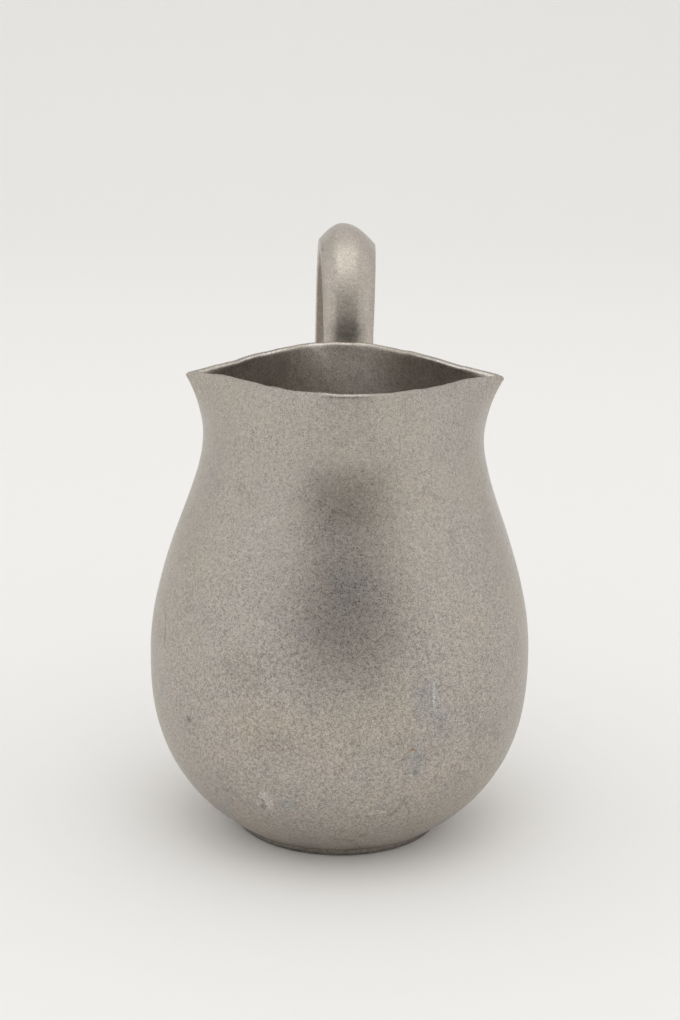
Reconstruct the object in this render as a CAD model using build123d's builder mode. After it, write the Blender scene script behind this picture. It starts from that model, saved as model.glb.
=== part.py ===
"""Small two-lipped cream jug: a spun pear-shaped body with a let-in base and a hollow loop handle.

Units are millimetres. +Z is up, the origin is the centre of the resting face, the two pouring
lips point along -X and +X, and the handle stands at the back, on the +Y side.
"""

from math import cos, exp, hypot, pi, radians, sin
import os

from build123d import *

# Body of revolution
BELLY_RADIUS = 38.0
BELLY_HEIGHT = 36.5
NECK_RADIUS = 27.3
NECK_HEIGHT = 82.0
SHOULDER = (33.45, 59.3)  # radius and height of the point that sets the shoulder's slope
HIP = (32.75, 13.2)  # radius and height of the point that sets the lower bowl's roundness
FOOT_RADIUS = 20.8
FOOT_SLOPE = (1.0, 0.62)  # direction in which the bowl leaves the base
SHEET = 1.1  # wall thickness of the spun metal

# Mouth: the rim is drawn in between two pointed lips
RIM_HEIGHT = 93.2  # at the front and the back
LIP_DROP = 1.4  # how far the lips' tips lie below the front and the back
LIP_REACH = 31.0  # from the axis to the tip of a lip
FLARE_START = 74.0
PINCH = 4.1  # how far the rim is drawn in on the diagonals
MOUTH_BULGE = 4.8  # how far the front and the back stand out from the drawn-in rim
LIP_SPREAD = (radians(24), radians(8))  # angular spread of a lip at the neck and at the rim
TIP_ROUNDING = radians(1.4)
FLARE_OVERSHOOT = 1.3  # the flared sheet runs on this far before the rim is trimmed

# Seams and base
SEAM = 0.4  # height of the solder line at the belly
SEAM_BEAD = 0.5  # how far the solder stands proud inside the belly
BASE_THICKNESS = 1.4
BASE_EDGE = 0.9  # rounding of the base's lower edge
BASE_FILLET = 1.2  # leg of the solder fillet inside the base

# Handle: a crowned shell closed by a flat strip, bent to a loop that rises above the rim
HANDLE_SHIFT = 2.1  # sideways, because the handle is soldered on slightly off the centre line
HANDLE_SKEW = radians(-1.1)
HANDLE_WIDTHS = (8.6, 10.6, 12.2, 12.2, 12.0, 10.6, 8.6)  # evenly spaced, belly to neck
HANDLE_DEPTHS = (4.0, 4.8, 5.4, 5.9, 5.7, 4.6, 3.8)
HANDLE_SHEET = 0.9
STRIP_SHEET = 1.0
FLANK = 1.7  # height of the shell's straight sides, the strip's edge included
VENT_RADIUS = 0.6
VENT_SHARE = 0.2  # place of the vent along the ridge
# Solder round the handle's ends: places along the ridge and how far it stands out there
LOWER_COLLAR = ((0.0, 2.2), (0.05, 0.9), (0.1, 0.2))
UPPER_COLLAR = ((0.85, 0.2), (0.9, 0.6), (0.95, 1.1), (1.0, 1.8))
HAIR = 0.12  # gap left round the handle by its solder
EDGE_GAP = 0.1  # gap between the handle shell and its strip
# Ridge line of the loop as distance from the axis and height, from the belly to the neck
RIDGE = (
    (34.0, 39.0),
    (50.0, 50.5),
    (62.8, 71.5),
    (65.3, 96.0),
    (57.5, 112.6),
    (48.0, 116.2),
    (38.8, 113.9),
    (32.0, 106.0),
    (28.7, 93.5),
    (22.0, 74.0),
)

os.makedirs("parts", exist_ok=True)


def smooth(share):
    """0 below the start and 1 above the end, with a soft start."""
    return min(max(share, 0.0), 1.2) ** 1.5


def along(values, share):
    """Straight-line reading of evenly spaced values at a share from 0 to 1."""
    place = min(max(share, 0.0), 1.0) * (len(values) - 1)
    lower = min(int(place), len(values) - 2)
    return values[lower] + (values[lower + 1] - values[lower]) * (place - lower)


# Outer profile of the body above the belly, on the XZ plane
upper_profile = Edge.make_spline(
    [(BELLY_RADIUS, 0, BELLY_HEIGHT), (SHOULDER[0], 0, SHOULDER[1]), (NECK_RADIUS, 0, NECK_HEIGHT)],
    tangents=[(0, 0, 1), (0, 0, 1)],
)


def body_radius(height):
    """Outer radius of the plain body of revolution, above the belly."""
    if height <= BELLY_HEIGHT:
        return BELLY_RADIUS
    if height >= NECK_HEIGHT:
        return NECK_RADIUS
    low, high = 0.0, 1.0
    for _ in range(40):
        middle = (low + high) / 2
        low, high = (middle, high) if (upper_profile @ middle).Z < height else (low, middle)
    return (upper_profile @ low).X


def outer_radius(angle, height):
    """Radius of the outer surface at an angle from the nearer lip, with the mouth's shaping."""
    flare = smooth((height - FLARE_START) / (RIM_HEIGHT - FLARE_START))
    tip_height = RIM_HEIGHT - LIP_DROP
    reach_share = smooth((height - FLARE_START) / (tip_height - FLARE_START)) ** 1.9
    spread = LIP_SPREAD[0] + (LIP_SPREAD[1] - LIP_SPREAD[0]) * min(flare, 1.0)
    drawn_in = body_radius(height) - PINCH * flare
    lip_height = body_radius(height) + (LIP_REACH - NECK_RADIUS) * reach_share - drawn_in
    from_tip = hypot(angle, TIP_ROUNDING) - TIP_ROUNDING
    return drawn_in + MOUTH_BULGE * flare * sin(angle) ** 6 + lip_height * exp(-from_tip / spread)


def inner_radius(angle, height):
    """The same one sheet thickness further in, measured square to the surface."""
    step = 0.01
    radius = outer_radius(angle, height)
    turn = (outer_radius(angle + step, height) - radius) / step / radius
    climb = (outer_radius(angle, height + step) - radius) / step
    return radius - SHEET * (1 + turn**2 + climb**2) ** 0.5


def mouth_outline(radius_at, height):
    """Closed outline through evenly graded angles, closest together at the lips."""
    graded = [pi / 2 * (step / 11) ** 1.7 for step in range(12)]
    quadrant = [(angle, radius_at(angle, height)) for angle in graded]
    points = [(r * cos(a), r * sin(a)) for a, r in quadrant]
    points += [(-x, y) for x, y in reversed(points[:-1])]
    return points + [(x, -y) for x, y in reversed(points[1:-1])]


def body_stations(first):
    """Heights of the sections that the upper body is drawn through."""
    return [first, 44, 52, 60, 67, 73, 78, 82, 85, 87.5, 89.5, 91.2, 92.6, RIM_HEIGHT + FLARE_OVERSHOOT]


# Full outer form of the upper body, used whole to trim the handle's ends
with BuildPart() as upper_form:
    for height in body_stations(BELLY_HEIGHT + SEAM / 2):
        with BuildSketch(Plane.XY.offset(height)):
            with BuildLine():
                Spline(*mouth_outline(outer_radius, height), periodic=True)
            make_face()
    loft()

with BuildPart() as upper_hollow:
    for height in body_stations(BELLY_HEIGHT - SEAM):
        with BuildSketch(Plane.XY.offset(height)):
            with BuildLine():
                Spline(*mouth_outline(inner_radius, height), periodic=True)
            make_face()
    loft()

with BuildPart() as upper_body:
    add(upper_form.part)
    add(upper_hollow.part, mode=Mode.SUBTRACT)
    # The rim is trimmed to a shallow arc that dips towards both lips
    with BuildSketch(Plane.XZ):
        with BuildLine():
            far = LIP_REACH + 9
            dip = RIM_HEIGHT - LIP_DROP * (far / LIP_REACH) ** 2
            rim_arc = ThreePointArc((-far, dip), (0, RIM_HEIGHT), (far, dip))
            Polyline((far, dip), (far, RIM_HEIGHT + 9), (-far, RIM_HEIGHT + 9), (-far, dip))
        make_face()
    extrude(amount=far, both=True, mode=Mode.SUBTRACT)
upper_body.part.label = "upper_body"

SEAM_BOTTOM, SEAM_TOP = BELLY_HEIGHT - SEAM / 2, BELLY_HEIGHT + SEAM / 2

with BuildPart() as lower_body:
    with BuildSketch(Plane.XZ):
        with BuildLine():
            outside = Spline(
                (FOOT_RADIUS, BASE_THICKNESS),
                HIP,
                (BELLY_RADIUS, SEAM_BOTTOM),
                tangents=(FOOT_SLOPE, (0, 1)),
            )
            wall = [
                outside @ share + (outside % share).rotate(Axis.Z, 90) * SHEET
                for share in (0, 0.3, 0.6, 1)
            ]
            inside = Spline(*wall, tangents=(FOOT_SLOPE, (0, 1)))
            Polyline(outside @ 0, (FOOT_RADIUS - SHEET, BASE_THICKNESS), inside @ 0)
            Line(outside @ 1, inside @ 1)
        make_face()
    revolve(axis=Axis.Z)
lower_body.part.label = "lower_body"

# The solder line between the two halves, with its small bead left inside
with BuildPart() as belly_solder_seam:
    with BuildSketch(Plane.XZ):
        with BuildLine():
            bead_foot = BELLY_RADIUS - SHEET
            Polyline(
                (bead_foot, SEAM_BOTTOM),
                (BELLY_RADIUS, SEAM_BOTTOM),
                (BELLY_RADIUS, SEAM_TOP),
                (bead_foot, SEAM_TOP),
            )
            ThreePointArc(
                (bead_foot, SEAM_TOP),
                (bead_foot - SEAM_BEAD, BELLY_HEIGHT),
                (bead_foot, SEAM_BOTTOM),
            )
        make_face()
    revolve(axis=Axis.Z)
belly_solder_seam.part.label = "belly_solder_seam"

with BuildPart() as base_disc:
    Cylinder(FOOT_RADIUS, BASE_THICKNESS, align=(Align.CENTER, Align.CENTER, Align.MIN))
    fillet(base_disc.faces().sort_by(Axis.Z)[0].edges(), BASE_EDGE)
base_disc.part.label = "base_disc"

with BuildPart() as base_solder_fillet:
    with BuildSketch(Plane.XZ):
        with BuildLine():
            corner = (FOOT_RADIUS - SHEET, BASE_THICKNESS)
            toe = (corner[0] - BASE_FILLET, BASE_THICKNESS)
            Polyline(toe, corner, wall[0])
            ThreePointArc(wall[0], (corner[0] - BASE_FILLET / 4, BASE_THICKNESS + BASE_FILLET / 4), toe)
        make_face()
    revolve(axis=Axis.Z)
base_solder_fillet.part.label = "base_solder_fillet"

# The handle's own upright plane: local x runs out from the body, local y runs up
handle_plane = Plane(
    origin=(HANDLE_SHIFT, 0, 0),
    x_dir=(sin(HANDLE_SKEW), cos(HANDLE_SKEW), 0),
    z_dir=(cos(HANDLE_SKEW), -sin(HANDLE_SKEW), 0),
)
with BuildLine(handle_plane) as ridge_line:
    Spline(*RIDGE)
ridge = ridge_line.edge()
HANDLE_SHARES = [step / 20 for step in range(21)]


def section_plane(share):
    """Plane square to the ridge: x runs across the handle and y points out of the loop."""
    return Plane(origin=ridge @ share, x_dir=handle_plane.z_dir, z_dir=ridge % share)


def handle_outline(share, inset=0.0):
    """Half width, shoulder height and crown height of the section, drawn in by an inset."""
    flat = -along(HANDLE_DEPTHS, share)
    shoulder = flat + FLANK - inset / 3
    return along(HANDLE_WIDTHS, share) / 2 - inset, shoulder, -inset - shoulder, flat


def crown_points(half, shoulder, crown):
    """The crown from the right shoulder over the ridge to the left one."""
    quarter = (half * 0.55, shoulder + crown * 0.57)
    return (half, shoulder), quarter, (0, shoulder + crown), (-quarter[0], quarter[1]), (-half, shoulder)


def shell_section(share):
    """Trough-shaped section of the outer shell, open towards the strip."""
    half, shoulder, crown, flat = handle_outline(share)
    inner_half, inner_shoulder, inner_crown, _ = handle_outline(share, HANDLE_SHEET)
    lip = flat + STRIP_SHEET + EDGE_GAP
    with BuildSketch(section_plane(share)) as section:
        with BuildLine():
            Spline(*crown_points(half, shoulder, crown))
            Polyline((-half, shoulder), (-half, lip), (-inner_half, lip), (-inner_half, inner_shoulder))
            Spline(*crown_points(inner_half, inner_shoulder, inner_crown))
            Polyline((inner_half, inner_shoulder), (inner_half, lip), (half, lip), (half, shoulder))
        make_face()
    return section.sketch


def strip_section(share):
    """Flat section of the inner strip."""
    half, _, _, flat = handle_outline(share)
    with BuildSketch(section_plane(share)) as section:
        with BuildLine():
            Polyline(
                (-half, flat),
                (half, flat),
                (half, flat + STRIP_SHEET),
                (-half, flat + STRIP_SHEET),
                close=True,
            )
        make_face()
    return section.sketch


def solder_section(share, growth):
    """Ring of solder round the handle, clear of it by a hair."""
    with BuildSketch(section_plane(share)) as section:
        for grow, mode in ((growth, Mode.ADD), (HAIR, Mode.SUBTRACT)):
            half, shoulder, crown, flat = handle_outline(share)
            half, flat, crown = half + grow, flat - grow, crown + grow
            with BuildLine():
                Spline(*crown_points(half, shoulder, crown))
                Polyline((-half, shoulder), (-half, flat), (half, flat), (half, shoulder))
            make_face(mode=mode)
    return section.sketch


with BuildPart() as handle_outer_shell:
    loft([shell_section(share) for share in HANDLE_SHARES])
    add(upper_form.part, mode=Mode.SUBTRACT)
handle_outer_shell.part.label = "handle_outer_shell"

with BuildPart() as handle_inner_strip:
    loft([strip_section(share) for share in HANDLE_SHARES])
    add(upper_form.part, mode=Mode.SUBTRACT)
    with Locations(section_plane(VENT_SHARE).rotated((90, 0, 0))):
        Cylinder(VENT_RADIUS, 4 * max(HANDLE_DEPTHS), mode=Mode.SUBTRACT)
handle_inner_strip.part.label = "handle_inner_strip"

with BuildPart() as lower_handle_solder:
    loft([solder_section(share, growth) for share, growth in LOWER_COLLAR])
    add(upper_form.part, mode=Mode.SUBTRACT)
lower_handle_solder.part.label = "lower_handle_solder"

with BuildPart() as upper_handle_solder:
    loft([solder_section(share, growth) for share, growth in UPPER_COLLAR])
    add(handle_inner_strip.part, mode=Mode.SUBTRACT)
    add(upper_form.part, mode=Mode.SUBTRACT)
upper_handle_solder.part.label = "upper_handle_solder"

for piece in (
    upper_body,
    lower_body,
    belly_solder_seam,
    base_disc,
    base_solder_fillet,
    handle_outer_shell,
    handle_inner_strip,
    lower_handle_solder,
    upper_handle_solder,
):
    export_step(piece.part, f"parts/{piece.part.label}.step")
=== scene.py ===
"""Looks for a small two-lipped pewter cream jug, laid out as a Blender add-on and run as a script.

All lengths are in metres. +Z is up, the lips point along X and the handle stands on the +Y side.
"""

from math import atan2, cos, exp, hypot, pi, radians, sin

import bmesh
import bpy
import numpy as np
from bpy.props import FloatProperty, FloatVectorProperty, IntProperty, PointerProperty
from mathutils import Euler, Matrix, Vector, noise


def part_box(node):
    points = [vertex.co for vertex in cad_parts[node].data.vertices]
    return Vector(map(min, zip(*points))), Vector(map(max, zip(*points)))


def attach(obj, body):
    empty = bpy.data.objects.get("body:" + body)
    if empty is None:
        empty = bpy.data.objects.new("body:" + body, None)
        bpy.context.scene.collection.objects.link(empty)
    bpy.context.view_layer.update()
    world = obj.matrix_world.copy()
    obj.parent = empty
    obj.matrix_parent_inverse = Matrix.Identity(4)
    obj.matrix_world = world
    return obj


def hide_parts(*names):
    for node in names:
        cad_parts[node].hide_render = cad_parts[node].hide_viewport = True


bl_info = {
    "name": "Cream Jug Finisher",
    "version": (1, 0, 0),
    "blender": (4, 5, 0),
    "location": "3D View > Sidebar > Cream Jug",
    "description": "Spins the jug's shells, bends its handle and gives every piece a worn pewter finish",
    "category": "Object",
}

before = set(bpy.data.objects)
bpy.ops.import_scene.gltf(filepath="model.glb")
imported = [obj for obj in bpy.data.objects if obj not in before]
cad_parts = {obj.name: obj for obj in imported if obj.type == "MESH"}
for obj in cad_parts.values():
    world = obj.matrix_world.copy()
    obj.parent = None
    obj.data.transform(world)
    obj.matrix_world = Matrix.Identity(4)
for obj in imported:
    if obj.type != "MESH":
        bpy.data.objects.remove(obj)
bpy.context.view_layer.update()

# Body profile: change of radius with height at the foot, hip and shoulder
FOOT_SLOPE = 1.61
HIP_SLOPE = 0.62
SHOULDER_SLOPE = -0.335

# Mouth
SOFT_START = 1.5  # power by which the flare sets in
LARGEST_SHARE = 1.2  # the flare's formula goes a little past the rim and then stops
LIP_SPREAD = (radians(24), radians(8))  # angle over which a lip falls off, at the neck and at the rim
TIP_ROUNDING = radians(1.4)
REACH_POWER = 1.9
BULGE_POWER = 6
SLOPE_STEP = 1e-4  # height step for the wall's slope
# Weight, waves round the rim and place in the noise of the rim's unevenness
RIM_WAVES = ((1.0, 3.1, 4.7), (0.5, 9.0, 1.3))
# Weight and features per metre of the hammer flats
HAMMER_FLATS = ((1.0, 95.0), (0.5, 210.0))

# Mesh steps
LIP_CROWDING = 1.5  # how much closer together the columns stand at the lips
UPPER_ROWS = 96
LOWER_ROWS = 72
SEAM_ROWS = 2
RIM_STEPS = 8  # over the rounded rim edge
CROWN_STEPS = 32
HOLLOW_STEPS = 12
CORNER_STEPS = 4
COLLAR_STEPS = 8
SHARP_RIM = radians(50)
SHARP_SHELL = radians(40)
SHARP_HANDLE = radians(38)

# Handle: ridge line as distance from the axis and height, then widths and depths, belly to neck
RIDGE = (
    (0.0340, 0.0390),
    (0.0500, 0.0505),
    (0.0628, 0.0715),
    (0.0653, 0.0960),
    (0.0575, 0.1126),
    (0.0480, 0.1162),
    (0.0388, 0.1139),
    (0.0320, 0.1060),
    (0.0287, 0.0935),
    (0.0220, 0.0740),
)
HANDLE_WIDTHS = (0.0086, 0.0106, 0.0122, 0.0122, 0.0120, 0.0106, 0.0086)
HANDLE_DEPTHS = (0.0040, 0.0048, 0.0054, 0.0059, 0.0057, 0.0046, 0.0038)
RIDGE_OFFSET = 0.16  # share of the half width by which the ridge stands left of the middle
RIDGE_SOFTNESS = 0.32
FULLNESS = (1.3, 2.3)  # gabled over the top, flatter on the neck arm
FULLNESS_SHARES = (0.64, 0.74)  # shares of the handle's length between which it changes
HOLLOW_SHOULDER = 1 / 3  # the hollow's shoulder and crown lie lower than the shell's,
HOLLOW_CROWN = 1.1  # as shares of the sheet
CHAMFER = 0.3
WALL_SINK = 0.35  # share of the body's sheet by which the handle's ends sink in
# Solder collars: share of the handle's length at the thin end and at the wall, and growth there
COLLARS = {
    "lower_handle_solder": (0.13, 0.0, 0.0016),
    "upper_handle_solder": (0.85, 1.0, 0.0012),
}
COLLAR_EDGE = 0.00006

# Finish. Layers of noise are given as features per metre, detail, roughness, ...
SPECKLE_LAYERS = (  # ... and share of the grain
    (7200.0, 3.0, 0.60, 0.34),
    (3900.0, 3.0, 0.62, 0.40),
    (1500.0, 5.0, 0.66, 0.26),
)
SPECKLE_CONTRAST = 3.4
PITS = (900.0, 2.0, 0.5, 0.0, 0.70, 0.78)  # ... warp, and the values where patches start and are full
WARM_PATCHES = (46.0, 5.0, 0.6, 0.6, 0.42, 0.66)
COOL_PATCHES = (71.0, 6.0, 0.65, 0.9, 0.50, 0.70)
SMUDGES = (130.0, 7.0, 0.7, 1.2, 0.54, 0.74)
SMUDGED_AREAS = (28.0, 2.0, 0.5, 0.0, 0.42, 0.58)
FRAY_LAYER = (900.0, 6.0, 0.72)
FRAY_REACH = 6.0
MARK_RIM = 1.1  # share of a mark's radius where it has faded out
WARM_SHARE = 0.75
COOL_SHARE = 0.48
SMUDGE_SHARE = 0.55
PIT_SHARE = 0.55
GRAIN_TONES = (0.60, 1.40)
COARSE_HEIGHTS = (0.030, 0.075)  # the speckle is coarser below and finer above
COARSE_SCALES = (1.6, 0.95)
SMOOTH_HEIGHTS = (0.025, 0.070)  # the metal is worn smoother towards the neck
SMOOTH_RANGE = 0.05
WARM_ROUGHNESS = (-0.02, 0.05)
GRAIN_ROUGHNESS = 0.16
TURNING_LINES = {"Scale": 520.0, "Distortion": 2.5, "Detail": 3.0}
TURNING_SHARE = 0.18
BUMP_STRENGTH = 0.55

# Kinds of mark: colour, strength and softness
MARK_KINDS = {
    # Painted reflection: this kind is a dark patch standing in for dark surroundings mirrored in the
    # metal.
    "painted_dark_reflection": ((0.09, 0.082, 0.075), 0.85, 0.95),
    "cool": ((0.34, 0.345, 0.35), 0.42, 0.3),
    "dark": ((0.17, 0.155, 0.14), 0.5, 0.3),
    "rust": ((0.42, 0.20, 0.07), 0.6, 0.3),
    "warm": ((0.46, 0.40, 0.33), 0.35, 0.3),
    "pale": ((0.66, 0.64, 0.62), 0.45, 0.3),
    "dull": ((0.30, 0.27, 0.235), 0.3, 0.3),
}
# Marks as angle from the front towards +X, height, radius, stretch, fray and kind
BODY_MARKS = (
    (0.41, 0.0385, 0.0030, (1.0, 1.0, 0.7), 0.5, "cool"),
    (0.37, 0.0258, 0.0034, (1.3, 1.0, 0.8), 0.5, "cool"),
    (0.48, 0.0330, 0.0022, (1.2, 1.0, 0.8), 0.7, "cool"),
    (0.40, 0.0388, 0.0011, (1.3, 1.0, 0.7), 0.4, "dull"),
    (0.28, 0.0308, 0.0009, (1.0, 1.0, 0.7), 0.8, "dull"),
    (0.50, 0.0325, 0.0011, (0.8, 1.0, 1.0), 0.9, "dull"),
    (0.375, 0.0233, 0.0006, (1.0, 1.0, 1.0), 0.4, "dark"),
    (-0.31, 0.0160, 0.0024, (1.0, 1.0, 1.3), 0.4, "cool"),
    (-0.43, 0.0158, 0.0022, (1.4, 1.0, 0.8), 0.9, "pale"),
    (-0.45, 0.0148, 0.0012, (2.2, 1.0, 0.6), 0.9, "dark"),
    (0.345, 0.0285, 0.0006, (0.7, 1.0, 1.8), 0.3, "rust"),
    (-0.95, 0.0318, 0.0009, (1.6, 1.6, 0.7), 0.6, "dull"),
    (-0.88, 0.0295, 0.0007, (1.0, 1.0, 1.0), 0.6, "dark"),
    (0.20, 0.0580, 0.0005, (1.0, 1.0, 1.0), 0.6, "dull"),
    (0.62, 0.0700, 0.0005, (1.0, 1.0, 1.0), 0.6, "dull"),
    (0.455, 0.0390, 0.0013, (5.0, 1.0, 0.5), 0.1, "pale"),
    (0.20, 0.0148, 0.0013, (0.6, 1.0, 2.2), 0.9, "pale"),
    (-0.42, 0.0330, 0.0060, (1.0, 1.0, 1.2), 0.7, "warm"),
    (-0.36, 0.0290, 0.0036, (0.8, 1.0, 1.3), 0.9, "dull"),
    (-0.52, 0.0420, 0.0045, (0.8, 1.0, 1.1), 0.9, "dull"),
)
HANDLE_MARKS = (
    # The first handle mark is a painted dark reflection at the foot of the neck arm.
    (3.09, 0.0955, 0.0052, (0.85, 1.0, 1.0), 0.10, "painted_dark_reflection"),
    (3.05, 0.1045, 0.0010, (1.0, 1.0, 1.4), 0.6, "dull"),
)

# Stage
SWEEP_FRONT = 3.0
SWEEP_BACK = 0.9
SWEEP_BEND = 1.2
SWEEP_TOP = 3.6
SWEEP_WIDTH = 7.0
SWEEP_STEPS = 24
# Painted shade: the floor's colour grows darker with distance, standing in for light falling off.
FAR_FLOOR = (0.3, 2.2)  # distances between which the floor grows dimmer
FAR_PAINTED_SHADE = 0.88
PAPER_GRAIN = (400.0, 2.0)
PAPER_GRAIN_SHARE = 0.03
TENT_STRENGTH = 0.92
SOFTBOX_PLACE = (0.0, -0.45, 1.5)
SOFTBOX_AIM = (0.0, 0.0, 0.05)
SOFTBOX_SIZE = 1.0
SOFTBOX_POWER = 2.6
CARD_PLACE = (0.06, -1.15, 0.35)
CARD_SIZE = (1.36, 0.70)
CARD_TONE = (0.24, 0.235, 0.23, 1.0)
SENSOR = 36.0
SIDE_SHIFT = -0.0023


# Settings

def length(label, hint, default):
    """A length in metres for a property group."""
    return FloatProperty(name=label, description=hint, default=default, unit="LENGTH", precision=5)


def tilt(label, hint, default):
    """An angle in radians for a property group."""
    return FloatProperty(name=label, description=hint, default=default, subtype="ANGLE")


def colour(label, hint, default):
    """A linear colour for a property group."""
    return FloatVectorProperty(
        name=label,
        description=hint,
        default=default,
        subtype="COLOR",
        size=3,
        min=0,
        max=1,
    )


class JugBodySettings(bpy.types.PropertyGroup):
    """Sizes of the spun body and its drawn mouth."""

    foot_radius: length("Foot radius", "Radius at the base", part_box("base_disc")[1].x)
    foot_height: length("Foot height", "Where the bowl meets the base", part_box("base_disc")[1].z)
    hip_radius: length("Hip radius", "Radius part-way up the lower bowl", 0.03275)
    hip_height: length("Hip height", "Height of the hip", 0.0132)
    belly_radius: length("Belly radius", "Largest radius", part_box("lower_body")[1].x)
    belly_height: length("Belly height", "Height of the largest radius and its seam", 0.0365)
    shoulder_radius: length("Shoulder radius", "Radius half-way up to the neck", 0.03345)
    shoulder_height: length("Shoulder height", "Height of the shoulder", 0.0593)
    neck_radius: length("Neck radius", "Smallest radius under the mouth", 0.0273)
    neck_height: length("Neck height", "Height of the neck", 0.082)
    rim_height: length("Rim height", "Rim at front and back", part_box("upper_body")[1].z)
    lip_drop: length("Lip drop", "How far the lips' tips lie below the rim's front", 0.0014)
    lip_reach: length("Lip reach", "Distance from the axis to a lip's tip", 0.0310)
    flare_start: length("Flare start", "Height where the mouth starts to leave the round", 0.074)
    pinch: length("Pinch", "How far the rim is drawn in beside the lips", 0.0041)
    bulge: length("Bulge", "How far front and back stand out from the drawn-in rim", 0.0048)
    sheet: length("Sheet", "Thickness of the metal", 0.0011)
    seam: length("Seam", "Height of the solder line at the belly", 0.0004)
    rim_crown: length("Rim crown", "Height of the rounded edge", 0.0007)
    rim_wander: length("Rim wander", "Unevenness of the hand-worked rim", 0.00024)
    planish: length("Planishing", "Depth of the soft hammer flats left in the sheet", 0.00007)
    round_steps: IntProperty(
        name="Steps per quarter",
        description="Divisions per quarter turn",
        default=72,
        min=12,
    )


class JugHandleSettings(bpy.types.PropertyGroup):
    """Sizes of the loop handle."""

    shift: length("Shift", "Sideways place of the handle", 0.0021)
    skew: tilt("Skew", "Turn about the vertical", radians(-1.1))
    sheet: length("Shell sheet", "Thickness of the crowned shell", 0.0009)
    strip: length("Strip sheet", "Thickness of the flat inner strip", 0.0010)
    flank: length("Flank", "Height of the straight sides", 0.0017)
    tilt: length("Tilt", "How much higher the left shoulder stands", 0.0006)
    droop: length("Droop", "How much lower the right shoulder lies", 0.0003)
    gap: length("Gap", "Air between a collar and the handle in it", 0.00002)
    edge: length("Edge rounding", "Softening of the long edges", 0.00028)
    steps: IntProperty(
        name="Steps",
        description="Sections along the loop",
        default=180,
        min=20,
    )


class JugFinishSettings(bpy.types.PropertyGroup):
    """Colours of the metal."""

    metal: colour("Metal", "Clean satin pewter", (0.436, 0.399, 0.362))
    warm: colour("Warm film", "Beige tarnish film", (0.47, 0.425, 0.368))
    cool: colour("Cool bloom", "Bluish grey bloom", (0.375, 0.362, 0.345))
    stain: colour("Stain", "Dark stains and pits", (0.17, 0.155, 0.14))
    handle: colour("Handle", "Cleaner, handled pewter", (0.54, 0.492, 0.448))
    # Painted shade: the base disc's colour is darkened to stand in for the shadow under the jug's foot.
    base: colour("Base", "Grimy edge of the base disc", (0.26, 0.24, 0.215))
    inside: colour("Inside", "Inner wall", (0.90, 0.85, 0.79))


class JugStageSettings(bpy.types.PropertyGroup):
    """Camera, light and floor."""

    camera_reach: length("Camera reach", "Level distance from the jug's axis", 0.37364)
    camera_height: length("Camera height", "Height of the lens", 0.16364)
    camera_pitch: tilt("Pitch", "Angle of the line of sight below level", radians(14.79))
    camera_turn: tilt("Turn", "Place of the camera round the jug", radians(1.6))
    camera_roll: tilt("Roll", "Turn about the line of sight", radians(1.15))
    lens: FloatProperty(
        name="Lens",
        description="Focal length in mm on a 36 mm side",
        default=68.8,
    )
    floor: colour("Floor", "Pale sweep", (0.93, 0.925, 0.912))
    surround: colour("Surround", "Light all round", (1.0, 0.99, 0.975))


# Meshes

def make_piece(name, points, faces):
    """Mesh object with outward, smooth faces."""
    mesh = bpy.data.meshes.new(name)
    mesh.from_pydata([tuple(point) for point in points], [], faces)
    shape = bmesh.new()
    shape.from_mesh(mesh)
    bmesh.ops.recalc_face_normals(shape, faces=shape.faces)
    shape.to_mesh(mesh)
    shape.free()
    for face in mesh.polygons:
        face.use_smooth = True
    piece = bpy.data.objects.new(name, mesh)
    bpy.context.scene.collection.objects.link(piece)
    return piece


def wrap_columns(name, columns):
    """Closed mesh from closed columns of points that stand side by side all the way round."""
    points = [point for column in columns for point in column]
    tall, wide = len(columns[0]), len(columns)
    faces = []
    for column in range(wide):
        here, beside = column * tall, (column + 1) % wide * tall
        for row in range(tall):
            above = (row + 1) % tall
            faces.append((here + row, beside + row, beside + above, here + above))
    return make_piece(name, points, faces)


def sharpen(piece, angle):
    """Splits the shading at edges sharper than the angle."""
    shape = bmesh.new()
    shape.from_mesh(piece.data)
    for edge in shape.edges:
        if len(edge.link_faces) == 2 and edge.calc_face_angle() > angle:
            edge.smooth = False
    shape.to_mesh(piece.data)
    shape.free()


# Body

def smooth_share(share):
    """0 below the start, with a soft start above it."""
    return min(max(share, 0.0), LARGEST_SHARE) ** SOFT_START


def hermite(low, high, share, slope_low, slope_high):
    """Cubic between two values with given slopes per share."""
    square, cube = share * share, share * share * share
    return (
        (2 * cube - 3 * square + 1) * low
        + (cube - 2 * square + share) * slope_low
        + (3 * square - 2 * cube) * high
        + (cube - square) * slope_high
    )


def plain_radius(body, height):
    """Outer radius of the body of revolution at a height."""
    knots = (
        (body.foot_height, body.foot_radius, FOOT_SLOPE),
        (body.hip_height, body.hip_radius, HIP_SLOPE),
        (body.belly_height, body.belly_radius, 0.0),
        (body.shoulder_height, body.shoulder_radius, SHOULDER_SLOPE),
        (body.neck_height, body.neck_radius, 0.0),
    )
    for (z0, r0, s0), (z1, r1, s1) in zip(knots, knots[1:]):
        if height <= z1 and height < body.neck_height:
            span = z1 - z0
            return hermite(r0, r1, max(height - z0, 0.0) / span, s0 * span, s1 * span)
    return body.neck_radius


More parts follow.
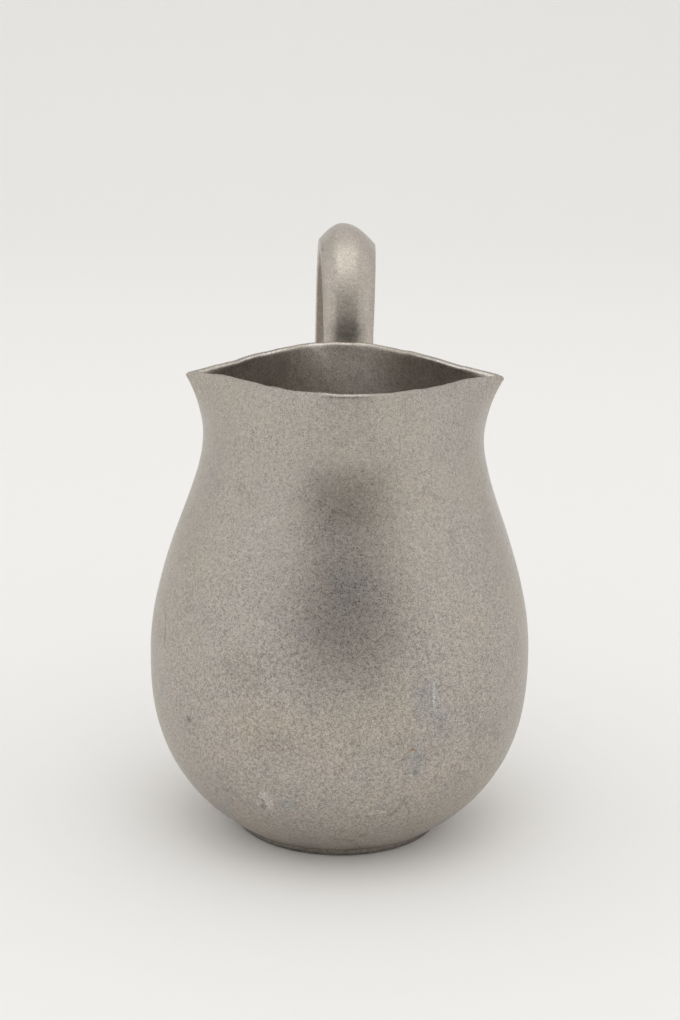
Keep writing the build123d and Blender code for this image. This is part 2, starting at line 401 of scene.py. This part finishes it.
def mouth_radius(body, turn, height):
    """Outer radius at an angle from the +X lip, and how steeply it falls off round the lip."""
    radius = plain_radius(body, height)
    if height <= body.flare_start:
        return radius, 0.0
    angle = atan2(abs(sin(turn)), abs(cos(turn)))
    risen = height - body.flare_start
    flare = smooth_share(risen / (body.rim_height - body.flare_start))
    tip_height = body.rim_height - body.lip_drop
    reach = smooth_share(risen / (tip_height - body.flare_start)) ** REACH_POWER
    spread = LIP_SPREAD[0] + (LIP_SPREAD[1] - LIP_SPREAD[0]) * min(flare, 1.0)
    drawn_in = radius - body.pinch * flare
    stand = radius + (body.lip_reach - body.neck_radius) * reach - drawn_in
    from_tip = hypot(angle, TIP_ROUNDING) - TIP_ROUNDING
    fall = stand * exp(-angle / spread)
    bulge = body.bulge * flare * sin(angle) ** BULGE_POWER
    outer = drawn_in + bulge + stand * exp(-from_tip / spread)
    return outer, fall / spread / outer


def rim_level(body, turn):
    """Height of the rim, which dips towards the lips and wanders a little."""
    tip_radius = mouth_radius(body, turn, body.rim_height - body.lip_drop)[0]
    reach = tip_radius * cos(turn) / body.lip_reach
    wander = 0.0
    for weight, waves, place in RIM_WAVES:
        wander += weight * noise.noise(Vector((cos(turn) * waves, sin(turn) * waves, place)))
    return body.rim_height - body.lip_drop * reach * reach + body.rim_wander * wander


def column_turns(steps):
    """Angles round the jug, closest together at the lips."""
    graded = [pi / 2 * (step / steps) ** LIP_CROWDING for step in range(steps + 1)]
    half = graded + [pi - angle for angle in reversed(graded[:-1])]
    return half + [2 * pi - angle for angle in reversed(half[1:-1])]


def shell_point(body, turn, height, depth):
    """Point of the sheet, depth 0 on the outside and 1 on the inside."""
    radius, fall = mouth_radius(body, turn, height)
    climb = (mouth_radius(body, turn, height + SLOPE_STEP)[0] - radius) / SLOPE_STEP
    radius -= depth * body.sheet * (1 + fall**2 + climb**2) ** 0.5
    place = Vector((cos(turn) * radius, sin(turn) * radius, height))
    flats = 0.0
    for weight, scale in HAMMER_FLATS:
        flats += weight * noise.noise(place * scale)
    radius += body.planish * flats
    return Vector((radius * cos(turn), radius * sin(turn), height))


def rounded_edge(body, outer, inner):
    """Points over the rim from the outer wall's end to the inner wall's."""
    middle, arm = (outer + inner) / 2, (outer - inner) / 2
    over = []
    for step in range(1, RIM_STEPS):
        angle = pi * step / RIM_STEPS
        over.append(middle + arm * cos(angle) + Vector((0, 0, body.rim_crown * sin(angle))))
    return over


def shell_columns(body, low, high_at, rows, rounded=False):
    """Closed profile loops for every angle: up the outside, over the edge and down the inside."""
    columns = []
    for turn in column_turns(body.round_steps):
        high = high_at(turn)
        heights = [low + (high - low) * row / rows for row in range(rows + 1)]
        outside = [shell_point(body, turn, height, 0.0) for height in heights]
        inside = [shell_point(body, turn, height, 1.0) for height in reversed(heights)]
        over = rounded_edge(body, outside[-1], inside[0]) if rounded else []
        columns.append(outside + over + inside)
    return columns


# Handle

def spline_through(points, count):
    """Evenly spread points on the smooth curve through the given points, with its directions."""
    knots = np.array(points)
    chord = np.concatenate([[0], np.cumsum(np.linalg.norm(np.diff(knots, axis=0), axis=1))])
    gaps = np.diff(chord)
    size = len(knots)
    matrix, right = np.eye(size), np.zeros((size, 2))
    for row in range(1, size - 1):
        before, after = gaps[row - 1], gaps[row]
        matrix[row, row - 1 : row + 2] = before, 2 * (before + after), after
        slope_after = (knots[row + 1] - knots[row]) / after
        slope_before = (knots[row] - knots[row - 1]) / before
        right[row] = 6 * (slope_after - slope_before)
    bends = np.linalg.solve(matrix, right)
    found = []
    for place in np.linspace(0, chord[-1], count):
        span = min(int(np.searchsorted(chord, place, side="right")) - 1, size - 2)
        gap, low = gaps[span], (chord[span + 1] - place) / gaps[span]
        high = 1 - low
        found.append(
            low * knots[span]
            + high * knots[span + 1]
            + ((low**3 - low) * bends[span] + (high**3 - high) * bends[span + 1]) * gap * gap / 6
        )
    found = np.array(found)
    along = np.gradient(found, axis=0)
    return found, along / np.linalg.norm(along, axis=1)[:, None]


def crown_line(half, left, right, crown, fullness, steps):
    """The crowned top of the handle's section from its right shoulder to its left one."""
    peak = -RIDGE_OFFSET * half
    full_lean = hypot(1, RIDGE_SOFTNESS) - RIDGE_SOFTNESS
    line = []
    for step in range(steps + 1):
        across = half * (1 - 2 * step / steps)
        shoulder, reach = (right, half - peak) if across > peak else (left, half + peak)
        lean = abs(across - peak) / reach
        lean = (hypot(lean, RIDGE_SOFTNESS) - RIDGE_SOFTNESS) / full_lean
        line.append((across, shoulder + (crown - shoulder) * (1 - lean**fullness)))
    return line


def shell_outline(handle, width, depth, fullness, share):
    """Trough-shaped outline of the handle's outer shell."""
    half, shoulder, lip = width / 2, handle.flank - depth, handle.strip - depth
    left, right = shoulder + handle.tilt, shoulder - handle.droop
    inner, edge = half - handle.sheet, handle.edge
    cut = edge * CHAMFER
    low = shoulder - handle.sheet * HOLLOW_SHOULDER
    outline = crown_line(half, left, right, 0.0, fullness, CROWN_STEPS)
    outline += [(-half, lip + edge), (-half + cut, lip + cut), (-half + edge, lip), (-inner, lip)]
    top = -handle.sheet * HOLLOW_CROWN
    outline += reversed(crown_line(inner, low, low - handle.droop, top, fullness, HOLLOW_STEPS))
    outline += [(inner, lip), (half - edge, lip), (half - cut, lip + cut), (half, lip + edge)]
    return outline


def strip_outline(handle, width, depth, fullness, share):
    """Outline of the flat inner strip with softened edges."""
    half, low, high, edge = width / 2, -depth, handle.strip - depth, handle.edge
    outline = []
    for x, y, start in ((half, high, 0), (-half, high, 1), (-half, low, 2), (half, low, 3)):
        middle_x = x - edge if x > 0 else x + edge
        middle_y = y - edge if y == high else y + edge
        for step in range(CORNER_STEPS + 1):
            angle = (start + step / CORNER_STEPS) * pi / 2
            outline.append((middle_x + edge * cos(angle), middle_y + edge * sin(angle)))
    return outline


def collar_outline(grow_at):
    """Outline of the whole handle, grown by a width that depends on the share along it."""

    def outline_of(handle, width, depth, fullness, share):
        grow = grow_at(share)
        half, shoulder, low = width / 2 + grow, handle.flank - depth, -depth - grow
        left, right = shoulder + handle.tilt, shoulder - handle.droop
        line = crown_line(half, left, right, grow, fullness, CROWN_STEPS)
        line += [(-half, low + grow / 2), (-half + grow / 2, low)]
        line += [(-half + 2 * half * step / COLLAR_STEPS, low) for step in range(1, COLLAR_STEPS)]
        return line + [(half - grow / 2, low), (half, low + grow / 2)]

    return outline_of


def handle_sections(handle, outline_of, start=0.0, end=1.0):
    """Outlines set along the part of the ridge line between two shares of its length."""
    line, along = spline_through(RIDGE, handle.steps)
    out = Vector((sin(handle.skew), cos(handle.skew), 0))
    side = Vector((cos(handle.skew), -sin(handle.skew), 0))
    shares = np.linspace(0, 1, handle.steps)
    places = np.linspace(0, 1, len(HANDLE_WIDTHS))
    sections = []
    for (reach, height), (ahead_out, ahead_up), share in zip(line, along, shares):
        if not start <= share <= end:
            continue
        width = float(np.interp(share, places, HANDLE_WIDTHS))
        depth = float(np.interp(share, places, HANDLE_DEPTHS))
        fullness = float(np.interp(share, FULLNESS_SHARES, FULLNESS))
        centre = Vector((handle.shift, 0, height)) + out * reach
        outward = out * ahead_up - Vector((0, 0, ahead_out))
        outline = outline_of(handle, width, depth, fullness, share)
        sections.append([centre + side * x + outward * y for x, y in outline])
    return sections


def trim_to_wall(body, line):
    """Cuts a line of points off where it has sunk a little way into the body's sheet."""
    gaps = []
    for point in line:
        wall = mouth_radius(body, atan2(point.y, point.x), point.z)[0] - body.sheet * WALL_SINK
        gaps.append(hypot(point.x, point.y) - wall)
    outside = [index for index, gap in enumerate(gaps) if gap > 0]
    if not outside:
        raise RuntimeError("a line of the handle lies wholly inside the body")
    start, end = outside[0], outside[-1]
    if start > 0:
        start -= gaps[start] / (gaps[start] - gaps[start - 1])
    if end < len(line) - 1:
        end += gaps[end] / (gaps[end] - gaps[end + 1])
    trimmed = []
    for place in np.linspace(start, end, len(line)):
        low = min(int(place), len(line) - 2)
        trimmed.append(line[low].lerp(line[low + 1], place - low))
    return trimmed


def bend_handle(handle, body, name, outline_of):
    """A closed bar with the given outline, bent along the handle's ridge line."""
    sections = handle_sections(handle, outline_of)
    lengths = [trim_to_wall(body, spots) for spots in zip(*sections)]
    count, steps = len(lengths), len(sections)
    points = [point for spots in lengths for point in spots]
    faces = []
    for spot in range(count):
        here, beside = spot * steps, (spot + 1) % count * steps
        for step in range(steps - 1):
            faces.append((here + step, beside + step, beside + step + 1, here + step + 1))
    faces.append(tuple(spot * steps for spot in reversed(range(count))))
    faces.append(tuple(spot * steps + steps - 1 for spot in range(count)))
    return make_piece(name, points, faces)


def run_collar(handle, body, name, thin, wall, growth):
    """A solder collar round one end of the handle, thin along it and thick at the wall."""

    def grow_at(share):
        return COLLAR_EDGE + growth * ((share - thin) / (wall - thin)) ** 2

    start, end = min(thin, wall), max(thin, wall)
    outer = handle_sections(handle, collar_outline(grow_at), start, end)
    inner = handle_sections(handle, collar_outline(lambda share: handle.gap), start, end)
    columns = []
    for outer_line, inner_line in zip(zip(*outer), zip(*inner)):
        columns.append(trim_to_wall(body, outer_line) + trim_to_wall(body, inner_line)[::-1])
    return wrap_columns(name, columns)


# Node helpers

def feed(tree, value, socket):
    """Links a socket or sets a number or a colour on another socket."""
    if isinstance(value, bpy.types.NodeSocket):
        tree.links.new(value, socket)
    elif isinstance(value, (int, float)) or len(value) == len(socket.default_value):
        socket.default_value = value
    else:
        socket.default_value = (*value, 1.0)


def noise_node(tree, vector, scale, detail, roughness=0.55, warp=0.0):
    """Noise texture whose scale is features per metre."""
    node = tree.nodes.new("ShaderNodeTexNoise")
    node.inputs["Scale"].default_value = scale
    node.inputs["Detail"].default_value = detail
    node.inputs["Roughness"].default_value = roughness
    node.inputs["Distortion"].default_value = warp
    tree.links.new(vector, node.inputs["Vector"])
    return node.outputs["Fac"]


def spread_out(tree, value, low, high, to_low=0.0, to_high=1.0):
    """Maps a value smoothly from one range to another and clamps it."""
    node = tree.nodes.new("ShaderNodeMapRange")
    node.interpolation_type = "SMOOTHSTEP"
    feed(tree, value, node.inputs["Value"])
    feed(tree, low, node.inputs["From Min"])
    feed(tree, high, node.inputs["From Max"])
    feed(tree, to_low, node.inputs["To Min"])
    feed(tree, to_high, node.inputs["To Max"])
    return node.outputs["Result"]


def patches(tree, vector, layer):
    """Mask of patches from a layer of noise and the values where they start and are full."""
    scale, detail, roughness, warp, start, full = layer
    return spread_out(tree, noise_node(tree, vector, scale, detail, roughness, warp), start, full)


def reckon(tree, operation, first, second):
    """Math node on two sockets or numbers."""
    node = tree.nodes.new("ShaderNodeMath")
    node.operation = operation
    feed(tree, first, node.inputs[0])
    feed(tree, second, node.inputs[1])
    return node.outputs[0]


def reckon_vector(tree, operation, first, second=None):
    """Vector math node on one or two sockets; a scale or a length acts on the first."""
    node = tree.nodes.new("ShaderNodeVectorMath")
    node.operation = operation
    tree.links.new(first, node.inputs[0])
    if second is not None:
        tree.links.new(second, node.inputs["Scale" if operation == "SCALE" else 1])
    return node.outputs["Value" if operation == "LENGTH" else "Vector"]


def blend_colours(tree, mask, share, under, over):
    """Lays a colour over another by a mask times a share."""
    node = tree.nodes.new("ShaderNodeMix")
    node.data_type = "RGBA"
    feed(tree, reckon(tree, "MULTIPLY", mask, share), node.inputs["Factor"])
    feed(tree, under, node.inputs[6])
    feed(tree, over, node.inputs[7])
    return node.outputs[2]


def new_group(name, inputs, outputs):
    """Empty shader node group with named sockets."""
    group = bpy.data.node_groups.new(name, "ShaderNodeTree")
    for label, kind, default in inputs:
        socket = group.interface.new_socket(name=label, in_out="INPUT", socket_type=kind)
        if default is not None:
            socket.default_value = default
    for label in outputs:
        group.interface.new_socket(name=label, in_out="OUTPUT", socket_type="NodeSocketFloat")
    return group, group.nodes.new("NodeGroupInput").outputs, group.nodes.new("NodeGroupOutput").inputs


def place_group(tree, group, vector, **values):
    """Puts a node group into a tree with its own values."""
    node = tree.nodes.new("ShaderNodeGroup")
    node.node_tree = group
    tree.links.new(vector, node.inputs["Vector"])
    for label, value in values.items():
        feed(tree, value, node.inputs[label])
    return node.outputs


# Shared effects

def speckle_group():
    """Fine all-over speckle of worn cast metal: pale and dark grains, pits and a height."""
    group, entry, leave = new_group(
        "metal_speckle",
        [("Vector", "NodeSocketVector", None), ("Coarseness", "NodeSocketFloat", 1.0)],
        ("Grain", "Pits", "Height"),
    )
    grain = None
    for scale, detail, roughness, share in SPECKLE_LAYERS:
        layer = noise_node(group, entry["Vector"], scale, detail, roughness)
        layer = reckon(group, "MULTIPLY", layer, share)
        grain = layer if grain is None else reckon(group, "ADD", grain, layer)
    centred = reckon(group, "SUBTRACT", grain, 0.5)
    centred = reckon(group, "MULTIPLY", centred, entry["Coarseness"])
    spread = reckon(group, "ADD", reckon(group, "MULTIPLY", centred, SPECKLE_CONTRAST), 0.5)
    pits = patches(group, entry["Vector"], PITS)
    group.links.new(spread, leave["Grain"])
    group.links.new(pits, leave["Pits"])
    group.links.new(reckon(group, "SUBTRACT", spread, pits), leave["Height"])
    return group


def bloom_group():
    """Broad soft patches of tarnish film, and smudges gathered in a few areas."""
    group, entry, leave = new_group(
        "tarnish_bloom",
        [("Vector", "NodeSocketVector", None)],
        ("Warm", "Cool", "Smudge"),
    )
    vector = entry["Vector"]
    group.links.new(patches(group, vector, WARM_PATCHES), leave["Warm"])
    group.links.new(patches(group, vector, COOL_PATCHES), leave["Cool"])
    smudge, area = patches(group, vector, SMUDGES), patches(group, vector, SMUDGED_AREAS)
    group.links.new(reckon(group, "MULTIPLY", smudge, area), leave["Smudge"])
    return group


def mark_group():
    """One ragged mark: a mask round a centre, stretched by a scale and frayed by noise."""
    group, entry, leave = new_group(
        "ragged_mark",
        [
            ("Vector", "NodeSocketVector", None),
            ("Centre", "NodeSocketVector", None),
            ("Stretch", "NodeSocketVector", (1.0, 1.0, 1.0)),
            ("Radius", "NodeSocketFloat", 0.003),
            ("Fray", "NodeSocketFloat", 0.5),
            ("Soft", "NodeSocketFloat", 0.3),
        ],
        ("Mask",),
    )
    offset = reckon_vector(group, "SUBTRACT", entry["Vector"], entry["Centre"])
    offset = reckon_vector(group, "MULTIPLY", offset, entry["Stretch"])
    share = reckon(group, "DIVIDE", reckon_vector(group, "LENGTH", offset), entry["Radius"])
    ragged = reckon(group, "SUBTRACT", noise_node(group, entry["Vector"], *FRAY_LAYER), 0.5)
    ragged = reckon(group, "MULTIPLY", ragged, entry["Fray"])
    ragged = reckon(group, "MULTIPLY", ragged, FRAY_REACH)
    share = reckon(group, "ADD", share, ragged)
    core = reckon(group, "SUBTRACT", 1.0, entry["Soft"])
    group.links.new(spread_out(group, share, core, MARK_RIM, 1.0, 0.0), leave["Mask"])
    return group


# Pewter

def metal_tone(tree, groups, place, speckle, bloom, base, finish, film, marks, body):
    """Colour of the metal under its films, marks, grain and pits."""
    tone = blend_colours(tree, bloom["Warm"], film, base, finish.warm)
    tone = blend_colours(tree, bloom["Cool"], COOL_SHARE, tone, finish.cool)
    tone = blend_colours(tree, bloom["Smudge"], SMUDGE_SHARE, tone, finish.stain)
    for angle, level, radius, stretch, fray, kind in marks:
        shade, strength, soft = MARK_KINDS[kind]
        reach = plain_radius(body, level)
        centre = (reach * sin(angle), -reach * cos(angle), level)
        mark = place_group(
            tree,
            groups["mark"],
            place,
            Centre=centre,
            Stretch=stretch,
            Radius=radius,
            Fray=fray,
            Soft=soft,
        )
        tone = blend_colours(tree, mark["Mask"], strength, tone, shade)
    grain = spread_out(tree, speckle["Grain"], 0.0, 1.0, *GRAIN_TONES)
    tone = reckon_vector(tree, "SCALE", tone, grain)
    return blend_colours(tree, speckle["Pits"], PIT_SHARE, tone, finish.stain)


def metal_roughness(tree, height, speckle, bloom, rough):
    """Roughness, smoother towards the neck, duller under the warm film and uneven by grain."""
    level = spread_out(tree, height, *SMOOTH_HEIGHTS, rough + SMOOTH_RANGE, rough - SMOOTH_RANGE)
    level = reckon(tree, "ADD", level, spread_out(tree, bloom["Warm"], 0.0, 1.0, *WARM_ROUGHNESS))
    gritty = reckon(tree, "SUBTRACT", speckle["Grain"], 0.5)
    return reckon(tree, "ADD", level, reckon(tree, "MULTIPLY", gritty, GRAIN_ROUGHNESS))


def metal_relief(tree, place, speckle, depth):
    """Normal bent by the speckle and by faint turning lines."""
    lines = tree.nodes.new("ShaderNodeTexWave")
    lines.bands_direction = "Z"
    for label, value in TURNING_LINES.items():
        lines.inputs[label].default_value = value
    tree.links.new(place, lines.inputs["Vector"])
    turned = reckon(tree, "MULTIPLY", lines.outputs["Fac"], TURNING_SHARE)
    raised = tree.nodes.new("ShaderNodeBump")
    raised.inputs["Strength"].default_value = BUMP_STRENGTH
    raised.inputs["Distance"].default_value = depth
    tree.links.new(reckon(tree, "ADD", speckle["Height"], turned), raised.inputs["Height"])
    return raised.outputs["Normal"]


def pewter(name, groups, base, finish, body, **wear_and_reflection):
    """Worn satin pewter; wear_and_reflection sets its rough, coarse, depth, film and marks, which on the
    handle include a painted dark reflection.
    """
    rough, coarse = wear_and_reflection.get("rough", 0.40), wear_and_reflection.get("coarse", 1.0)
    material = bpy.data.materials.new(name)
    material.use_nodes = True
    tree = material.node_tree
    shader = tree.nodes["Principled BSDF"].inputs
    shader["Metallic"].default_value = 1.0
    place = tree.nodes.new("ShaderNodeTexCoord").outputs["Object"]
    parts = tree.nodes.new("ShaderNodeSeparateXYZ")
    tree.links.new(place, parts.inputs[0])
    height = parts.outputs["Z"]
    scales = [scale * coarse for scale in COARSE_SCALES]
    coarseness = spread_out(tree, height, *COARSE_HEIGHTS, *scales)
    speckle = place_group(tree, groups["speckle"], place, Coarseness=coarseness)
    bloom = place_group(tree, groups["bloom"], place)
    film, marks = wear_and_reflection.get("film", WARM_SHARE), wear_and_reflection.get("marks", ())
    tone = metal_tone(tree, groups, place, speckle, bloom, base, finish, film, marks, body)
    tree.links.new(tone, shader["Base Color"])
    tree.links.new(metal_roughness(tree, height, speckle, bloom, rough), shader["Roughness"])
    relief = metal_relief(tree, place, speckle, wear_and_reflection.get("depth", 0.00004))
    tree.links.new(relief, shader["Normal"])
    return material


def finishes():
    """The jug's finishes, built once."""
    made = bpy.data.materials
    if "body_finish" in made:
        return made
    finish = bpy.context.scene.jug_finish
    body = bpy.context.scene.jug_body
    groups = {"speckle": speckle_group(), "bloom": bloom_group(), "mark": mark_group()}
    handled = {"rough": 0.42, "coarse": 0.75, "depth": 0.00003, "marks": HANDLE_MARKS}
    pewter("body_finish", groups, finish.metal, finish, body, rough=0.36, marks=BODY_MARKS)
    # The base disc gets a darker copy of the metal as painted shade under the foot.
    pewter("base_painted_shade_finish", groups, finish.base, finish, body, film=0.1)
    pewter("inside_finish", groups, finish.inside, finish, body, rough=0.46)
    pewter("handle_finish", groups, finish.handle, finish, body, **handled)
    return made


def finish_piece(piece, material, node):
    """Gives a new piece its material in a new slot and its body, and hides the CAD node it stands for.
    """
    piece.data.materials.append(material)
    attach(piece, "root")
    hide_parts(node)


def line_inside(piece, rows_outside, tall):
    """Gives the inner wall's faces their own material."""
    piece.data.materials.append(finishes()["inside_finish"])
    for index, face in enumerate(piece.data.polygons):
        if index % tall > rows_outside:
            face.material_index = 1


# Operators

class JUG_OT_spin_upper(bpy.types.Operator):
    """Spin the upper shell and draw its mouth out to two lips."""

    bl_idname = "jug.spin_upper"
    bl_label = "Upper shell"

    def execute(self, context):
        body = context.scene.jug_body
        low = body.belly_height + body.seam / 2
        columns = shell_columns(body, low, lambda turn: rim_level(body, turn), UPPER_ROWS, True)
        piece = wrap_columns("upper_shell", columns)
        finish_piece(piece, finishes()["body_finish"], "upper_body")
        line_inside(piece, UPPER_ROWS + RIM_STEPS // 2 + 1, len(columns[0]))
        sharpen(piece, SHARP_RIM)
        return {"FINISHED"}


class JUG_OT_spin_lower(bpy.types.Operator):
    """Spin the lower bowl and the solder line that joins it to the upper shell."""

    bl_idname = "jug.spin_lower"
    bl_label = "Lower bowl"

    def execute(self, context):
        body = context.scene.jug_body
        top = body.belly_height - body.seam / 2
        columns = shell_columns(body, body.foot_height, lambda turn: top, LOWER_ROWS)
        piece = wrap_columns("lower_bowl", columns)
        finish_piece(piece, finishes()["body_finish"], "lower_body")
        line_inside(piece, LOWER_ROWS, len(columns[0]))
        sharpen(piece, SHARP_SHELL)
        columns = shell_columns(body, top, lambda turn: top + body.seam, SEAM_ROWS)
        piece = wrap_columns("belly_seam", columns)
        sharpen(piece, SHARP_SHELL)
        finish_piece(piece, finishes()["body_finish"], "belly_solder_seam")
        return {"FINISHED"}


class JUG_OT_bend_handle(bpy.types.Operator):
    """Bend the handle's crowned shell and its flat inner strip, and solder both ends."""

    bl_idname = "jug.bend_handle"
    bl_label = "Handle"

    def execute(self, context):
        handle, body = context.scene.jug_handle, context.scene.jug_body
        shell = bend_handle(handle, body, "handle_shell", shell_outline)
        strip = bend_handle(handle, body, "handle_strip", strip_outline)
        for piece, node in ((shell, "handle_outer_shell"), (strip, "handle_inner_strip")):
            sharpen(piece, SHARP_HANDLE)
            finish_piece(piece, finishes()["handle_finish"], node)
        for node, (thin, wall, growth) in COLLARS.items():
            piece = run_collar(handle, body, node + "_bead", thin, wall, growth)
            sharpen(piece, SHARP_HANDLE)
            finish_piece(piece, finishes()["handle_finish"], node)
        return {"FINISHED"}


class JUG_OT_finish_base(bpy.types.Operator):
    """Finish the base disc, darkened as painted shade, and the solder fillet in its corner."""

    bl_idname = "jug.finish_base"
    bl_label = "Base and its solder"

    def execute(self, context):
        for node, finish in (("base_disc", "base_painted_shade_finish"), ("base_solder_fillet", "body_finish")):
            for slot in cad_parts[node].material_slots:
                slot.material = finishes()[finish]
        return {"FINISHED"}


class JUG_OT_set_stage(bpy.types.Operator):
    """Lay the pale floor and set the light and the camera."""

    bl_idname = "jug.set_stage"
    bl_label = "Stage"

    def execute(self, context):
        stage = context.scene.jug_stage
        self.lay_floor(stage)
        self.set_light(context, stage)
        self.stand_card()
        self.set_camera(context, stage)
        return {"FINISHED"}

    def lay_floor(self, stage):
        """Wide pale sweep that turns up behind the jug."""
        profile = [(-SWEEP_FRONT, 0.0)]
        for step in range(SWEEP_STEPS + 1):
            angle = pi / 2 * step / SWEEP_STEPS
            rise = SWEEP_BEND * (1 - cos(angle))
            profile.append((SWEEP_BACK + SWEEP_BEND * sin(angle), rise))
        profile.append((SWEEP_BACK + SWEEP_BEND, SWEEP_TOP))
        points = [(side * SWEEP_WIDTH / 2, y, z) for y, z in profile for side in (-1, 1)]
        starts = range(0, 2 * (len(profile) - 1), 2)
        floor = make_piece("pale_sweep", points, [(s, s + 1, s + 3, s + 2) for s in starts])
        floor.data.materials.append(self.paper(stage))

    def paper(self, stage):
        """Pale paper with a faint grain, and painted shade that makes it a little dimmer far away."""
        material = bpy.data.materials.new("pale_paper")
        material.use_nodes = True
        tree = material.node_tree
        shader = tree.nodes["Principled BSDF"].inputs
        shader["Roughness"].default_value = 0.75
        shader["Specular IOR Level"].default_value = 0.2
        place = tree.nodes.new("ShaderNodeTexCoord").outputs["Object"]
        # Painted shade: darker paper further from the jug; the same darker tone also colours the grain.
        far = spread_out(tree, reckon_vector(tree, "LENGTH", place), *FAR_FLOOR)
        shade_and_grain_tone = tuple(value * FAR_PAINTED_SHADE for value in stage.floor)
        tone = blend_colours(tree, far, 1.0, stage.floor, shade_and_grain_tone)
        grain = spread_out(tree, noise_node(tree, place, *PAPER_GRAIN), 0.2, 0.8)
        tone = blend_colours(tree, grain, PAPER_GRAIN_SHARE, tone, shade_and_grain_tone)
        tree.links.new(tone, shader["Base Color"])
        return material

    def set_light(self, context, stage):
        """Even light tent and one soft light overhead."""
        world = bpy.data.worlds.new("light_tent")
        world.use_nodes = True
        tent = world.node_tree.nodes["Background"].inputs
        tent["Color"].default_value = (*stage.surround, 1.0)
        tent["Strength"].default_value = TENT_STRENGTH
        context.scene.world = world
        light = bpy.data.lights.new("top_softbox", "AREA")
        light.size = SOFTBOX_SIZE
        light.energy = SOFTBOX_POWER
        lamp = bpy.data.objects.new("top_softbox", light)
        lamp.location = SOFTBOX_PLACE
        aim = Vector(SOFTBOX_AIM) - Vector(SOFTBOX_PLACE)
        lamp.rotation_euler = aim.to_track_quat("-Z", "Y").to_euler()
        context.scene.collection.objects.link(lamp)
        context.scene.view_settings.view_transform = "Standard"

    def stand_card(self):
        """Grey card in front, which only shows as the dark band mirrored in the metal."""
        bpy.ops.mesh.primitive_grid_add(
            x_subdivisions=8,
            y_subdivisions=8,
            size=1.0,
            location=CARD_PLACE,
        )
        card = bpy.context.object
        card.name = "dark_card"
        card.scale = (*CARD_SIZE, 1)
        card.rotation_euler = (pi / 2, 0, 0)
        material = bpy.data.materials.new("grey_cloth")
        material.use_nodes = True
        shader = material.node_tree.nodes["Principled BSDF"].inputs
        shader["Base Color"].default_value = CARD_TONE
        shader["Roughness"].default_value = 0.9
        card.data.materials.append(material)
        card.visible_camera = False
        card.visible_shadow = False
        card.visible_diffuse = False

    def set_camera(self, context, stage):
        """Long lens a little above the rim, opposite the handle."""
        lens = bpy.data.cameras.new("camera")
        lens.lens = stage.lens
        lens.sensor_width = SENSOR
        lens.shift_x = SIDE_SHIFT
        lens.clip_start = 0.01
        camera = bpy.data.objects.new("camera", lens)
        turn, reach = stage.camera_turn, stage.camera_reach
        camera.location = (-reach * sin(turn), -reach * cos(turn), stage.camera_height)
        level = Euler((pi / 2 - stage.camera_pitch, 0, -turn)).to_matrix()
        roll = Euler((0, 0, stage.camera_roll)).to_matrix()
        camera.rotation_euler = (level @ roll).to_euler()
        context.scene.collection.objects.link(camera)
        context.scene.camera = camera


GROUPS = {
    "jug_body": JugBodySettings,
    "jug_handle": JugHandleSettings,
    "jug_finish": JugFinishSettings,
    "jug_stage": JugStageSettings,
}
OPERATORS = (
    JUG_OT_spin_upper,
    JUG_OT_spin_lower,
    JUG_OT_bend_handle,
    JUG_OT_finish_base,
    JUG_OT_set_stage,
)


class JUG_PT_panel(bpy.types.Panel):
    """Sidebar panel with the jug's steps and settings."""

    bl_label = "Cream Jug"
    bl_idname = "JUG_PT_panel"
    bl_space_type = "VIEW_3D"
    bl_region_type = "UI"
    bl_category = "Cream Jug"

    def draw(self, context):
        for operator in OPERATORS:
            self.layout.operator(operator.bl_idname)
        for name, kind in GROUPS.items():
            for setting in kind.__annotations__:
                self.layout.prop(getattr(context.scene, name), setting)


def register():
    for name, group in GROUPS.items():
        bpy.utils.register_class(group)
        setattr(bpy.types.Scene, name, PointerProperty(type=group))
    for operator in OPERATORS:
        bpy.utils.register_class(operator)
    bpy.utils.register_class(JUG_PT_panel)


def unregister():
    bpy.utils.unregister_class(JUG_PT_panel)
    for operator in reversed(OPERATORS):
        bpy.utils.unregister_class(operator)
    for name, group in reversed(list(GROUPS.items())):
        delattr(bpy.types.Scene, name)
        bpy.utils.unregister_class(group)


def main():
    """Registers the add-on and makes every piece in order."""
    register()
    bpy.ops.jug.spin_upper()
    bpy.ops.jug.spin_lower()
    bpy.ops.jug.bend_handle()
    bpy.ops.jug.finish_base()
    bpy.ops.jug.set_stage()


if __name__ == "__main__":
    main()
